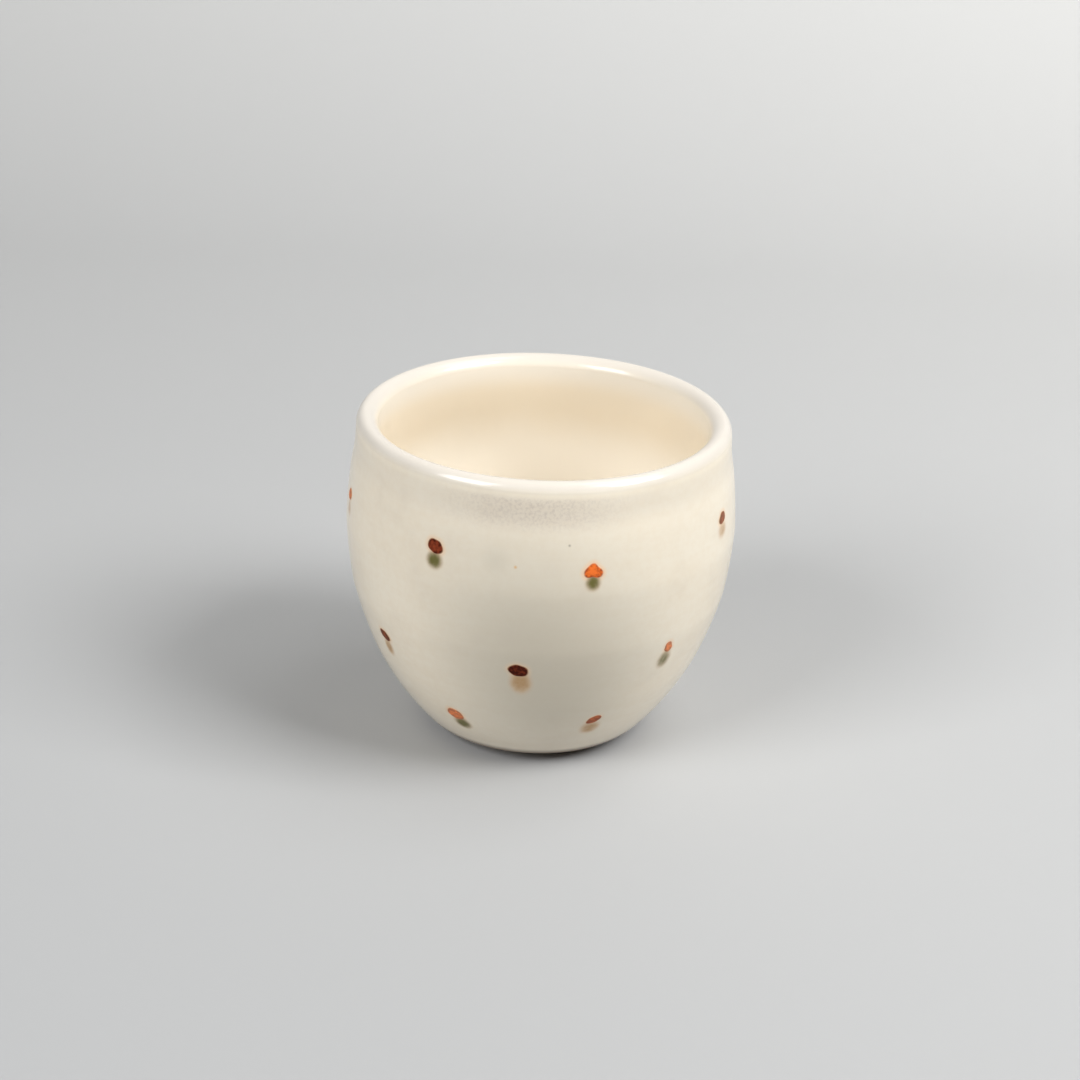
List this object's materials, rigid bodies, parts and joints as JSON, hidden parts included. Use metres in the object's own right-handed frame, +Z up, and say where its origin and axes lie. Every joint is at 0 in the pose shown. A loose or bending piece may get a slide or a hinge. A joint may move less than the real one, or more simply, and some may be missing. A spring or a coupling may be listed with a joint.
{
  "type": "teacup",
  "caption": "Round handleless wheel-thrown teacup with a full belly, a rounded lip over a shallow neck, a low turned foot ring, cream glaze and scattered coloured dabs.",
  "frame": {"origin": "centre of the foot ring, on the surface that the cup stands on", "axes": "+Z up along the axis that the cup was thrown on; the side shown in the picture faces -Y"},
  "size_m": [0.088, 0.088, 0.075],
  "materials": {
    "bare_clay": "matte",
    "cream_glaze": "gloss",
    "maroon_glaze": "gloss",
    "orange_glaze": "gloss",
    "green_stain": "gloss",
    "brown_stain": "gloss"
  },
  "bodies": {
    "root": {"clay_body": "bare_clay", "liner_glaze": "cream_glaze", "outer_glaze": "cream_glaze", "maroon_dabs": "maroon_glaze", "orange_dabs": "orange_glaze", "green_runs": "green_stain", "brown_runs": "brown_stain"}
  },
  "joints": []
}
